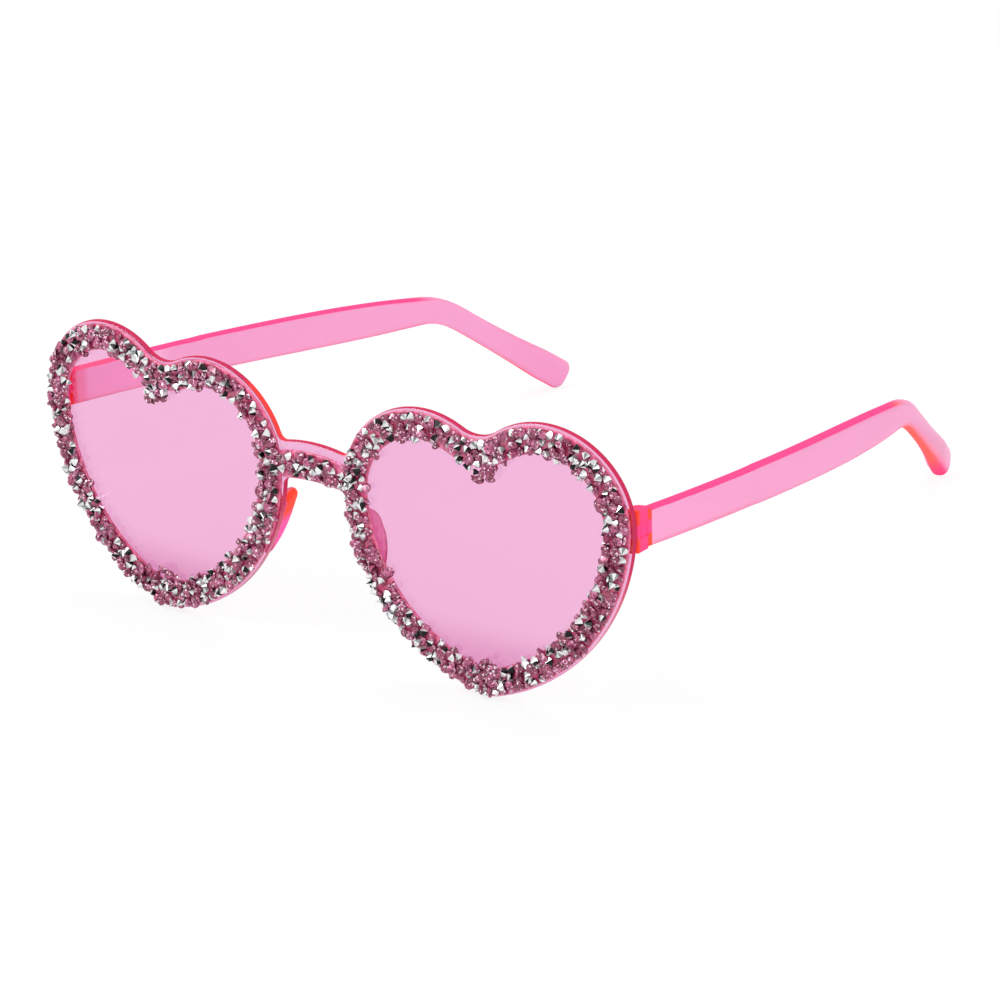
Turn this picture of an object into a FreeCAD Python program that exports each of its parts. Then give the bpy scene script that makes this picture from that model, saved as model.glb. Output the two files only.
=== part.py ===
"""Heart-shaped sunglasses: one clear pink front plate of two hearts and a bridge, set round with
rhinestones in resin, nose pads and hinge blocks bonded behind it, and two temples on screwed hinges.

Millimetres. +X is the wearer's left, the front faces -Y, the temples run to +Y and +Z is up. The part
stands on its two heart tips and its two temple tips, with the origin under the middle of its box.
"""
import FreeCAD, Part
import math
import os
import random

Vector = FreeCAD.Vector
UP = Vector(0, 0, 1)
BACK = Vector(0, 1, 0)
RIGHT = Vector(1, 0, 0)

# Heart outline
heart_width = 62.0
heart_height = 55.3
heart_gap = 14.1
outer_lobe_radius = 17.8
inner_lobe_radius = 18.1
inner_lobe_drop = 1.8
tip_shift = 0.6
tip_radius = 5.0
cleft_radius = 7.1
outer_side_radius = 40.8
inner_side_radius = 36.8

# Front plate and bridge
plate_thickness = 1.35
face_curve_radius = 550.0
bridge_rise = 6.4
bridge_height = 7.5
bridge_top_radius = 33.0
bridge_under_radius = 42.0
bridge_corner_radius = 1.6
bridge_root_share = 0.25
rim_round = 0.35

# Nose pads
pad_drop = 12.8
pad_length = 13.0
pad_root_width = 2.3
pad_depth = 5.2
pad_end_length = 4.0
pad_end_width = 1.0
pad_flare = 2.0
pad_edge_inset = 0.3
pad_stations = 3

# Hinges
knuckle_radius = 1.2
hinge_height = 8.0
middle_knuckle_height = 2.6
knuckle_gap = 0.08
hinge_foot_thickness = 0.6
hinge_foot_reach = 3.4
hinge_foot_corner = 1.2
hinge_running_gap = 0.15
stop_reach = 1.35
stop_gap = 0.05
screw_radius = 0.5
screw_head_radius = 0.82
screw_head_height = 0.5
screw_slot_width = 0.25
screw_slot_depth = 0.25
screw_sink = 0.1
hinge_cap = 0.6
screw_clearance = 0.03

# Temples
temple_start_height = 7.0
temple_middle_height = 7.3
temple_start_drop = 0.3
temple_thickness = 2.4
temple_tip_thickness = 2.9
temple_slope = 6.4
temple_curve_radius = 556.0
paddle_curve_radius = 213.0
paddle_curve_start = 94.0
taper_start = 78.0
bend_start = 95.2
bend_angle = 27.0
bend_radius = 31.0
neck_height = 4.2
neck_after_bend = 6.0
neck_inset = 0.15
tip_height = 6.6
tip_round = 2.3
tip_flat_share = 0.25
tip_sections = 4
section_spacing = 8.0
temple_round_share = 0.17
paddle_round_share = 0.4

# Rhinestones and the resin that holds them
stone_radius = 0.9
stone_table_radius = 0.52
stone_crown = 0.34
stone_pavilion = 0.76
stone_sides = 6
stone_clearance = 0.03
stone_trials_across = 12
stone_seat = 0.8
stone_seat_spread = 0.18
stone_tilt = 38.0
silver_share = 0.4
stone_seed = 7
band_margin = 0.4
band_width = 5.2
band_inner_tip_radius = 1.6
bridge_band_top_margin = 1.6
bridge_band_under_margin = 0.4
bed_thickness = 0.6

# One overrun for every cutting or trimming body, and how near counts as on a circle
overrun = 5.0
match_share = 1e-6

# Places that follow from the sizes above
heart_inner_edge = heart_gap / 2
heart_outer_edge = heart_inner_edge + heart_width
outer_lobe = Vector(heart_outer_edge - outer_lobe_radius, 0, heart_height - outer_lobe_radius)
inner_lobe_z = heart_height - inner_lobe_drop - inner_lobe_radius
inner_lobe = Vector(heart_inner_edge + inner_lobe_radius, 0, inner_lobe_z)
tip_x = heart_inner_edge + heart_width / 2 + tip_shift
bridge_top = inner_lobe.z + bridge_rise
bridge_under = bridge_top - bridge_height
pad_z = inner_lobe.z - pad_drop
hinge_z = outer_lobe.z
hinge_x = heart_outer_edge - knuckle_radius
stone_pitch = 2 * stone_radius + stone_clearance
stone_step = 2 * stone_radius / stone_trials_across
bend_length = bend_radius * math.radians(bend_angle)


def face_depth(x, depth):
    """Y of the curved front at x, at a depth behind its front face."""
    return face_curve_radius - math.sqrt((face_curve_radius - depth) ** 2 - x ** 2)


hinge_y = face_depth(hinge_x, plate_thickness) + hinge_foot_thickness + knuckle_radius + hinge_running_gap
temple_y = hinge_y + stop_reach + stop_gap


def behind(depth):
    """Everything at least this far behind the curved front face, as a tall round body."""
    height = heart_height + overrun + overrun
    return Part.makeCylinder(face_curve_radius - depth, height, Vector(0, face_curve_radius, -overrun), UP)


def layer(solid, near, far):
    """The part of a solid between two depths behind the front face."""
    return solid.common(behind(near)).cut(behind(far))


def on_circle(centre, radius, angle):
    """Point on a circle in the plane of the front."""
    return centre + Vector(radius * math.cos(angle), 0, radius * math.sin(angle))


def direction(vector):
    """Angle of a vector in the plane of the front."""
    return math.atan2(vector.z, vector.x)


def turned(angle, reference, clockwise):
    """The same angle, counted onwards from a reference angle in the given sense."""
    full = 2 * math.pi
    step = (reference - angle) % full if clockwise else (angle - reference) % full
    return reference - step if clockwise else reference + step


def meeting_point(first, first_reach, second, second_reach):
    """Upper point at two given distances from two centres in the plane of the front."""
    span = second - first
    along = (span.Length ** 2 + first_reach ** 2 - second_reach ** 2) / (2 * span.Length)
    across = math.sqrt(first_reach ** 2 - along ** 2)
    unit = Vector(span).normalize()
    up = Vector(-unit.z, 0, unit.x)
    return first + unit * along + (up if up.z > 0 else up * -1) * across


def heart_arcs(inset, tip_inset, tip_circle):
    """The heart's outline, moved inwards, as (centre, radius, start, end) arcs from the cleft round."""
    tip = Vector(tip_x, 0, tip_inset + tip_circle)
    outer_radius = outer_lobe_radius - inset
    inner_radius = inner_lobe_radius - inset
    cleft_circle = cleft_radius + inset
    cleft = meeting_point(outer_lobe, outer_radius + cleft_circle, inner_lobe, inner_radius + cleft_circle)
    outer_side = outer_side_radius - inset
    inner_side = inner_side_radius - inset
    outer_centre = meeting_point(tip, outer_side - tip_circle, outer_lobe, outer_side - outer_radius)
    inner_centre = meeting_point(tip, inner_side - tip_circle, inner_lobe, inner_side - inner_radius)
    outer_leave = direction(outer_lobe - outer_centre)
    inner_leave = direction(inner_lobe - inner_centre)
    runs = [
        (cleft, cleft_circle, direction(inner_lobe - cleft), direction(outer_lobe - cleft), False),
        (outer_lobe, outer_radius, direction(cleft - outer_lobe), outer_leave, True),
        (outer_centre, outer_side, outer_leave, direction(tip - outer_centre), True),
        (tip, tip_circle, direction(tip - outer_centre), direction(tip - inner_centre), True),
        (inner_centre, inner_side, direction(tip - inner_centre), inner_leave, True),
        (inner_lobe, inner_radius, inner_leave, direction(cleft - inner_lobe), True),
    ]
    return [(c, r, start, turned(end, start, clockwise)) for c, r, start, end, clockwise in runs]


def heart_prism(inset, tip_inset, tip_circle):
    """The left heart, moved inwards, as a prism through the whole depth of the front."""
    edges = []
    for centre, radius, start, end in heart_arcs(inset, tip_inset, tip_circle):
        stops = [on_circle(centre, radius, angle) for angle in (start, (start + end) / 2, end)]
        edges.append(Part.Arc(*stops).toShape())
    return through_front(Part.Wire(edges))


def through_front(wire):
    """A prism of an outline in the plane of the front, from before the stones to behind the plate."""
    depth = face_depth(heart_outer_edge, plate_thickness) + overrun + overrun
    face = Part.Face(wire)
    face.translate(BACK * -overrun)
    return face.extrude(BACK * depth)


def mirrored(shape):
    """The same piece on the wearer's right."""
    return shape.mirror(Vector(0, 0, 0), RIGHT)


def arch_height(x, top, radius):
    """Height at x of an arc that arches over the middle of the bridge."""
    return top - radius + math.sqrt(radius ** 2 - x ** 2)


def bridge_edges(x, top_margin, under_margin):
    """Heights of the bridge's underside and top at x, each moved in by a margin."""
    top = arch_height(x, bridge_top - top_margin, bridge_top_radius - top_margin)
    return arch_height(x, bridge_under + under_margin, bridge_under_radius + under_margin), top


def bridge_prism(top_margin, under_margin):
    """The bridge between the hearts, run on into both, less a margin along its top and underside."""
    half_length = heart_inner_edge + inner_lobe_radius * bridge_root_share
    under, top = [], []
    for x in (-half_length, 0, half_length):
        under_z, top_z = bridge_edges(x, top_margin, under_margin)
        under.append(Vector(x, 0, under_z))
        top.append(Vector(x, 0, top_z))
    return through_front(Part.Wire([
        Part.Arc(*top).toShape(),
        Part.makeLine(top[-1], under[-1]),
        Part.Arc(*under).toShape(),
        Part.makeLine(under[0], top[0]),
    ]))


def runs_along(edge, axis):
    """Whether an edge's middle runs nearer to an axis than across it."""
    tangent = edge.tangentAt((edge.FirstParameter + edge.LastParameter) / 2)
    return abs(tangent.dot(axis)) > math.cos(math.pi / 4)


def bridge_corners(solid):
    """Edges through the plate where the bridge's top or underside meets a heart."""
    arches = [(bridge_top - bridge_top_radius, bridge_top_radius),
              (bridge_under - bridge_under_radius, bridge_under_radius)]
    found = []
    for edge in solid.Edges:
        place = edge.Vertexes[0].Point
        for centre_z, radius in arches:
            miss = abs(math.hypot(place.x, place.z - centre_z) - radius)
            if runs_along(edge, BACK) and abs(place.x) < inner_lobe.x and miss < radius * match_share:
                found.append(edge)
    return found


def make_front_plate():
    """Two hearts and the bridge, moulded in one piece on a shallow curve, with softened rims."""
    heart = heart_prism(0, 0, tip_radius)
    outline = heart.fuse([mirrored(heart), bridge_prism(0, 0)]).removeSplitter()
    outline = outline.makeFillet(bridge_corner_radius, bridge_corners(outline))
    plate = layer(outline, 0, plate_thickness)
    return plate.makeFillet(rim_round, [edge for edge in plate.Edges if not runs_along(edge, BACK)])


def slot_wire(centre, along, length, width):
    """A slot with round ends in a plane across the depth, centred on a point, along a direction."""
    across = along.cross(BACK)
    reach = along * (length - width) / 2
    side = across * width / 2
    tip = along * length / 2
    edges = [
        Part.makeLine(centre - reach + side, centre + reach + side),
        Part.Arc(centre + reach + side, centre + tip, centre + reach - side).toShape(),
        Part.makeLine(centre + reach - side, centre - reach - side),
        Part.Arc(centre - reach - side, centre - tip, centre - reach + side).toShape(),
    ]
    return Part.Wire(edges)


def drawn_in(root, end, share):
    """A size that shrinks from root to end as the share goes from zero to one, in a quarter ellipse."""
    return math.sqrt(root ** 2 - (root ** 2 - end ** 2) * max(share, 0) ** 2)


def make_nose_pad():
    """A half-round fin along the heart's inner edge, flared away from the nose, ground to the plate."""
    centre, radius = heart_arcs(0, 0, tip_radius)[4][:2]
    angle = -math.pi + math.asin((centre.z - pad_z) / radius)
    inward = on_circle(Vector(0, 0, 0), -1, angle)
    along = inward.cross(BACK)
    root = on_circle(centre, radius, angle) + inward * (pad_edge_inset + pad_root_width / 2)
    root += BACK * face_depth(root.x, plate_thickness)
    wires = []
    for station in range(-1, pad_stations + 1):
        share = station / pad_stations
        length = drawn_in(pad_length, pad_end_length, share)
        width = drawn_in(pad_root_width, pad_end_width, share)
        middle = root + (BACK * pad_depth + inward * pad_flare) * share
        wires.append(slot_wire(middle, along, length, width))
    return Part.makeLoft(wires, True).common(behind(plate_thickness))


def upright(radius, low, high):
    """A round bar on the hinge axis between two heights."""
    return Part.makeCylinder(radius, high - low, Vector(hinge_x, hinge_y, low), UP)


def knuckle(low, high):
    """One ear of the hinge block: round inside the fold, square outside it as the open stop."""
    front = hinge_y - overrun
    inside, outside = hinge_x - knuckle_radius, hinge_x + knuckle_radius
    quarter = knuckle_radius * math.sqrt(1 / 2)
    corners = [
        Vector(hinge_x, hinge_y + knuckle_radius, low),
        Vector(hinge_x, hinge_y + stop_reach, low),
        Vector(outside, hinge_y + stop_reach, low),
        Vector(outside, front, low),
        Vector(inside, front, low),
        Vector(inside, hinge_y, low),
    ]
    round_middle = Vector(hinge_x - quarter, hinge_y + quarter, low)
    edges = [Part.makeLine(a, b) for a, b in zip(corners, corners[1:])]
    edges.append(Part.Arc(corners[-1], round_middle, corners[0]).toShape())
    return Part.Face(Part.Wire(edges)).extrude(UP * (high - low))


def make_hinge_block():
    """A foot bonded behind the heart's widest point, with an upper and a lower ear for the screw."""
    low, high = hinge_z - hinge_height / 2, hinge_z + hinge_height / 2
    slot = middle_knuckle_height / 2 + knuckle_gap
    width = hinge_foot_reach + knuckle_radius
    foot = Part.makeBox(width, hinge_y, hinge_height, Vector(hinge_x - hinge_foot_reach, 0, low))
    inner_side = hinge_x - hinge_foot_reach / 2
    corners = [edge for edge in foot.Edges if edge.CenterOfMass.x < inner_side and runs_along(edge, BACK)]
    foot = foot.makeFillet(hinge_foot_corner, corners)
    foot = layer(foot, plate_thickness, plate_thickness + hinge_foot_thickness)
    ears = knuckle(low, hinge_z - slot).fuse(knuckle(hinge_z + slot, high)).common(behind(plate_thickness))
    block = foot.fuse(ears).removeSplitter()
    bore = upright(screw_radius + screw_clearance, low - overrun, high - hinge_cap)
    seat = low + screw_sink + screw_head_height
    return block.cut(bore).cut(upright(screw_head_radius + screw_clearance, low - overrun, seat))


def make_hinge_screw():
    """A slotted screw, its head sunk in the lower ear, running up through all three knuckles."""
    low = hinge_z - hinge_height / 2 + screw_sink
    seat = low + screw_head_height
    shank = upright(screw_radius, seat, hinge_z + hinge_height / 2 - hinge_cap - screw_sink)
    head = upright(screw_head_radius, low, seat)
    slot_corner = Vector(hinge_x - screw_head_radius, hinge_y - screw_slot_width / 2, low)
    slot = Part.makeBox(2 * screw_head_radius, screw_slot_width, screw_slot_depth, slot_corner)
    return shank.fuse(head).removeSplitter().cut(slot)


def rounded_outline(corners):
    """A closed wire of straight runs, turned at each corner in an arc of the corner's radius."""
    stops = []
    for index, (corner, radius) in enumerate(corners):
        before = (corners[index - 1][0] - corner).normalize()
        after = (corners[(index + 1) % len(corners)][0] - corner).normalize()
        half = before.getAngle(after) / 2
        reach = radius / math.tan(half)
        middle = corner + (before + after).normalize() * (radius / math.sin(half) - radius)
        stops.append((corner + before * reach, middle, corner + after * reach))
    edges = []
    for index, (start, middle, end) in enumerate(stops):
        edges.append(Part.Arc(start, middle, end).toShape())
        edges.append(Part.makeLine(end, stops[(index + 1) % len(stops)][0]))
    return Part.Wire(edges)


def eased(value, low, high, before, after):
    """One size passing smoothly into another as a value goes from low to high."""
    share = min(max((value - low) / (high - low), 0), 1)
    return before + (after - before) * share * share * (3 - 2 * share)


def temple_course(distance):
    """Run back, drop and dip of the temple's centre line at a distance along it, seen from the side."""
    slope = math.radians(temple_slope)
    bar = min(distance, bend_start)
    bend = min(max(distance - bend_start, 0), bend_length)
    paddle = max(distance - bend_start - bend_length, 0)
    dip = slope + bend / bend_radius
    run = bar * math.cos(slope) + bend_radius * (math.sin(dip) - math.sin(slope)) + paddle * math.cos(dip)
    drop = bar * math.sin(slope) + bend_radius * (math.cos(slope) - math.cos(dip)) + paddle * math.sin(dip)
    return run, drop, dip


def temple_bow(run):
    """How far in and back the temple has come after a run seen from above, and how far it has turned in."""
    turn = min(run, paddle_curve_start) / temple_curve_radius
    inward = temple_curve_radius * (1 - math.cos(turn))
    back = temple_curve_radius * math.sin(turn)
    end_turn = turn + max(run - paddle_curve_start, 0) / paddle_curve_radius
    inward += paddle_curve_radius * (math.cos(turn) - math.cos(end_turn))
    back += paddle_curve_radius * (math.sin(end_turn) - math.sin(turn))
    return inward, back, end_turn


def temple_section(distance, height, thickness, round_share):
    """The temple's rounded outline across its centre line. The front end stands upright."""
    run, drop, dip = temple_course(distance)
    inward, back, turn = temple_bow(run)
    lean = dip if distance > 0 else 0
    centre = Vector(hinge_x - inward, temple_y + back, hinge_z - temple_start_drop - drop)
    side = Vector(math.cos(turn), math.sin(turn), 0) * thickness / 2
    ahead = Vector(-math.sin(turn), math.cos(turn), 0)
    rise = (ahead * math.sin(lean) + UP * math.cos(lean)) * height / 2
    corners = [centre + side + rise, centre - side + rise, centre - side - rise, centre + side - rise]
    edge_round = min(height, thickness) * round_share
    return rounded_outline([(corner, edge_round) for corner in corners])


def steps_between(low, high, step):
    """Evenly spaced values from low to high, about a step apart."""
    count = max(1, round((high - low) / step))
    return [low + (high - low) * index / count for index in range(count + 1)]


def make_temple_bar():
    """A tapering bar, a narrow neck at the ear bend, and a soft paddle that meets the table."""
    bend_end = bend_start + bend_length
    bend_drop, bend_dip = temple_course(bend_end)[1:]
    tip_reach = math.hypot(tip_round * math.sin(bend_dip), tip_height / 2 * math.cos(bend_dip))
    bend_level = hinge_z - temple_start_drop - bend_drop
    tip_centre = bend_end + (bend_level - tip_reach) / math.sin(bend_dip)
    neck = bend_end + neck_after_bend
    sections = []
    for stop in steps_between(0, tip_centre, section_spacing):
        bar_height = eased(stop, 0, taper_start, temple_start_height, temple_middle_height)
        height = eased(stop, taper_start, neck, bar_height, neck_height)
        height = eased(stop, neck, tip_centre, height, tip_height)
        thickness = eased(stop, 0, tip_centre, temple_thickness, temple_tip_thickness)
        round_share = eased(stop, taper_start, bend_end, temple_round_share, paddle_round_share)
        sections.append(temple_section(stop, height, thickness, round_share))
    for index in range(tip_sections):
        angle = math.acos(tip_flat_share) * (index + 1) / tip_sections
        left_share = min(2 * tip_round * (1 - math.sin(angle)) / temple_tip_thickness, 1)
        thickness = temple_tip_thickness * math.sqrt(1 - (1 - left_share) ** 2)
        stop = tip_centre + tip_round * math.sin(angle)
        sections.append(temple_section(stop, tip_height * math.cos(angle), thickness, paddle_round_share))
    return Part.makeLoft(sections, True)


def make_temple():
    """The bar with the middle knuckle on its front end."""
    low = hinge_z - middle_knuckle_height / 2
    neck_width = 2 * (knuckle_radius - neck_inset)
    neck_corner = Vector(hinge_x - neck_width / 2, hinge_y, low)
    neck_length = temple_y + stop_reach - hinge_y
    neck = Part.makeBox(neck_width, neck_length, middle_knuckle_height, neck_corner)
    eye = upright(knuckle_radius, low, low + middle_knuckle_height)
    temple = make_temple_bar().fuse([neck, eye]).removeSplitter()
    return temple.cut(upright(screw_radius + screw_clearance, low - overrun, low + hinge_height))


def make_heart_bed():
    """The strip of resin round a heart, on the plate's front face."""
    outer = heart_prism(band_margin, band_margin, tip_radius - band_margin)
    inset = band_margin + band_width
    inner = heart_prism(inset, inset, band_inner_tip_radius)
    return layer(outer.cut(inner), -bed_thickness, 0)


def make_bridge_bed():
    """The resin on the bridge, between the two hearts' strips."""
    heart = heart_prism(band_margin, band_margin, tip_radius - band_margin)
    strip = bridge_prism(bridge_band_top_margin, bridge_band_under_margin)
    return layer(strip.cut(heart).cut(mirrored(heart)), -bed_thickness, 0)


def make_stone():
    """A rhinestone on its own axis: table up, girdle at zero, pointed pavilion down."""
    angles = [2 * math.pi * side / stone_sides for side in range(stone_sides)]
    spokes = [Vector(math.cos(angle), math.sin(angle), 0) for angle in angles]
    table = [spoke * stone_table_radius + UP * stone_crown for spoke in spokes]
    girdle = [spoke * stone_radius for spoke in spokes]
    point = Vector(0, 0, -stone_pavilion)
    outlines = [table]
    for side in range(stone_sides):
        after = (side + 1) % stone_sides
        outlines.append([girdle[side], girdle[after], table[after], table[side]])
        outlines.append([girdle[after], girdle[side], point])
    faces = [Part.Face(Part.makePolygon(outline + outline[:1])) for outline in outlines]
    return Part.makeSolid(Part.makeShell(faces))


def outline_steps():
    """Points along the left heart's outline, each with the direction into the heart."""
    for centre, radius, start, end in heart_arcs(0, 0, tip_radius):
        count = math.ceil(abs(end - start) * radius / stone_step)
        inward = 1 if end > start else -1
        for step in range(count):
            spoke = on_circle(Vector(0, 0, 0), 1, start + (end - start) * step / count)
            yield centre + spoke * radius, spoke * inward


def has_room(place, taken):
    """Whether a stone at this place clears every stone placed so far."""
    return all((place - other).Length >= stone_pitch for other in taken)


def heart_places(draws):
    """Places of the left heart's stones: a row along the rim, and the rest of the band as they fell."""
    low = band_margin + stone_radius
    rows = steps_between(low, band_margin + band_width - stone_radius, stone_step)
    taken = []
    for choices in (rows[:1], rows[1:]):
        for edge, inward in outline_steps():
            for inset in draws.sample(choices, len(choices)):
                place = edge + inward * inset
                if has_room(place, taken):
                    taken.append(place)
    return taken


def bridge_places(draws, beside):
    """Places of the bridge's stones, between those of the two hearts."""
    half_length = heart_inner_edge + band_margin
    top_margin = bridge_band_top_margin + stone_radius
    under_margin = bridge_band_under_margin + stone_radius
    taken = []
    for x in steps_between(-half_length, half_length, stone_step):
        rows = steps_between(*bridge_edges(x, top_margin, under_margin), stone_step)
        for z in draws.sample(rows, len(rows)):
            place = Vector(x, 0, z)
            if has_room(place, taken + beside):
                taken.append(place)
    return taken


def seated(stone, place, point_up, draws):
    """A stone tumbled on the resin, either table up or lying on its table with its foiled point up."""
    angle = math.asin(place.x / face_curve_radius)
    outward = Vector(math.sin(angle), -math.cos(angle), 0)
    along = Vector(math.cos(angle), math.sin(angle), 0)
    lean = math.radians(stone_tilt) * draws.random()
    turn = 2 * math.pi * draws.random()
    facing = outward * math.cos(lean) + (along * math.cos(turn) + UP * math.sin(turn)) * math.sin(lean)
    height = stone_seat + stone_seat_spread * draws.random()
    centre = Vector(0, face_curve_radius, place.z) + outward * (face_curve_radius + height)
    spin = FreeCAD.Rotation(UP, math.degrees(2 * math.pi * draws.random()))
    swing = FreeCAD.Rotation(UP, facing * -1 if point_up else facing)
    copy = stone.copy()
    copy.Placement = FreeCAD.Placement(centre, swing.multiply(spin))
    return copy


def stone_groups(places, draws):
    """The pink, table-up stones and the silver, point-up stones of one stretch of band."""
    stone = make_stone()
    pink, silver = [], []
    for place in places:
        point_up = draws.random() < silver_share
        group = silver if point_up else pink
        group.append(seated(stone, place, point_up, draws))
    return Part.makeCompound(pink), Part.makeCompound(silver)


def all_stones():
    """Every stone, by node. Each stretch has draws of its own, so a change to one leaves the others."""
    draws = {name: random.Random(name + str(stone_seed)) for name in ("left", "right", "bridge")}
    left = heart_places(draws["left"])
    right = [Vector(-place.x, 0, place.z) for place in heart_places(draws["right"])]
    stretches = {"left": left, "right": right, "bridge": bridge_places(draws["bridge"], left + right)}
    nodes = {}
    for name, places in stretches.items():
        pink, silver = stone_groups(places, draws[name])
        nodes["stones_pink_" + name] = pink
        nodes["stones_silver_" + name] = silver
    return nodes


pieces = {"front_plate": make_front_plate(), "stone_bed_bridge": make_bridge_bed()}
paired = {
    "nose_pad": make_nose_pad(),
    "hinge_block": make_hinge_block(),
    "hinge_screw": make_hinge_screw(),
    "temple": make_temple(),
    "stone_bed": make_heart_bed(),
}
for name, shape in paired.items():
    pieces[name + "_left"] = shape
    pieces[name + "_right"] = mirrored(shape)
pieces.update(all_stones())

# The origin is under the middle of the box that holds the whole part.
box = Part.makeCompound(list(pieces.values())).optimalBoundingBox(False, False)
to_origin = Vector(0, -(box.YMin + box.YMax) / 2, -box.ZMin)
os.makedirs("parts", exist_ok=True)
for name, shape in pieces.items():
    shape.translate(to_origin)
    shape.exportStep(os.path.join("parts", name + ".step"))
    print(name, shape.isValid(), len(shape.Solids), round(shape.Volume, 2))
print("box", box, "hinge axis", Vector(hinge_x, hinge_y, hinge_z) + to_origin, "shift", to_origin)
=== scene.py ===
import math
import random

import bmesh
import bpy
from mathutils import Matrix, Vector, noise
from mathutils.kdtree import KDTree


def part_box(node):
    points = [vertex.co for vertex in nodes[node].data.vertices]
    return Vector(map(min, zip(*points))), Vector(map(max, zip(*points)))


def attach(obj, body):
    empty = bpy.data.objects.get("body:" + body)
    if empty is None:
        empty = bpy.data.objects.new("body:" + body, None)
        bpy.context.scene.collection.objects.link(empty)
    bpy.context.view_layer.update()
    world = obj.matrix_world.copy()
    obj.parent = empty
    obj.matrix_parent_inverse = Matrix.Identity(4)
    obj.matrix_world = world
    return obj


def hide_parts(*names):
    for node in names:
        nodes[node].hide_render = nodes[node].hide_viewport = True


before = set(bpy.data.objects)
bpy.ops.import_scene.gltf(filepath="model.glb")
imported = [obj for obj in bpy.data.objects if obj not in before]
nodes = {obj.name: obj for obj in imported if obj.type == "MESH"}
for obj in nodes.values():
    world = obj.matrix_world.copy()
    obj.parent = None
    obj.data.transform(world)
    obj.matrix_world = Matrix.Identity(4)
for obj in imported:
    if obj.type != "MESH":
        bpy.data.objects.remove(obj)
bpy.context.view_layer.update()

# The front plate: two hearts and the bridge, moulded in one piece of clear fluorescent polycarbonate.
# Its faces are polished and pale, with painted shade deepening their tint towards the tips.
# Its edges carry a painted glow that stands in for the light the dye gives off: rose, paler low down,
# and orange-red where the two hearts feed the narrow bridge.
MM = 0.001
lens_tint = (0.886, 0.630, 0.796)
# Painted shade: the tint that the faces deepen to towards the heart tips.
tip_shade_tint = (0.780, 0.441, 0.642)
# Colours of the painted glow on the plastic's edges and other lit parts.
glow_hot_pink = (0.860, 0.055, 0.200)
rim_glow_rose = (0.470, 0.022, 0.080)
rim_glow_pale = (0.860, 0.300, 0.430)
glow_orange_red = (0.900, 0.060, 0.025)
dye = (0.950, 0.080, 0.600)
dye_strength = 250.0
plastic_bend = 1.52
polish = 0.02
smudge_scale = 90.0
smudge_range = 0.35, 0.75
smudge_dulls = 0.05
edge_glow = 0.30
edge_dull = 0.15
edge_smudge = 0.15
tip_shade_heights = 15 * MM, 7 * MM
rim_heights = 10 * MM, 32 * MM
bridge_heights = 37 * MM, 43 * MM
bridge_root = 11 * MM
bridge_root_reach = 6 * MM, 3 * MM
bridge_orange_glow = 0.7
rim_turn = 0.82, 0.62
rim_lit_below = 0.35
rim_lit_gain = 0.50


class Tone:
    """A shader socket. Arithmetic on it adds Math nodes, and node() adds any other node."""

    def __init__(self, tree, socket=None):
        self.tree = tree
        self.socket = socket

    def node(self, kind, settings, values, output=0):
        """Adds a node, sets its settings, then fills its sockets by name or number."""
        made = self.tree.nodes.new("ShaderNode" + kind)
        for name, setting in settings.items():
            if name == "stops":
                ramp = made.color_ramp.elements
                while len(ramp) < len(setting):
                    ramp.new(1.0)
                for stop, (position, colour) in zip(ramp, setting):
                    stop.position, stop.color = position, (*colour, 1.0)
            else:
                setattr(made, name, setting)
        for key, value in values.items():
            self.fill(made.inputs[key], value)
        return Tone(self.tree, made.outputs[output] if made.outputs else None)

    def fill(self, socket, value):
        """Links a tone to a socket, or sets the socket's own value."""
        if isinstance(value, Tone):
            self.tree.links.new(value.socket, socket)
        elif socket.type == "RGBA":
            socket.default_value = (*value, 1.0)
        else:
            socket.default_value = value

    def math(self, operation, first, second=0.0):
        """Adds one Math node."""
        return self.node("Math", {"operation": operation}, {0: first, 1: second})

    def __add__(self, other):
        return self.math("ADD", self, other)

    def __sub__(self, other):
        return self.math("SUBTRACT", self, other)

    def __rsub__(self, other):
        return self.math("SUBTRACT", other, self)

    def __mul__(self, other):
        return self.math("MULTIPLY", self, other)

    def __abs__(self):
        return self.math("ABSOLUTE", self)

    __radd__ = __add__
    __rmul__ = __mul__

    def between(self, low, high):
        """0 at low, 1 at high, and smooth between them."""
        values = {"Value": self, "From Min": low, "From Max": high}
        return self.node("MapRange", {"interpolation_type": "SMOOTHSTEP"}, values)

    def mix(self, first, second):
        """A colour between two, by this tone."""
        return self.node("Mix", {"data_type": "RGBA"}, {"Factor": self, 6: first, 7: second}, 2)

    def along(self, axis):
        """One axis of a vector."""
        return self.node("SeparateXYZ", {}, {"Vector": self}, axis)

    def speckle(self, scale, detail=2.0):
        """Soft noise over the piece, about 1 / scale metres in grain."""
        return self.node("TexNoise", {}, {"Vector": self, "Scale": scale, "Detail": detail})


def new_finish(name):
    """An empty material, and the tones of a piece's own place and surface direction."""
    finish = bpy.data.materials.new(name)
    finish.use_nodes = True
    finish.node_tree.nodes.clear()
    blank = Tone(finish.node_tree)
    return finish, blank.node("TexCoord", {}, {}, "Object"), blank.node("TexCoord", {}, {}, "Normal")


def coat(node, finish):
    """Gives a CAD node its finish."""
    nodes[node].data.materials.clear()
    nodes[node].data.materials.append(finish)


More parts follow.
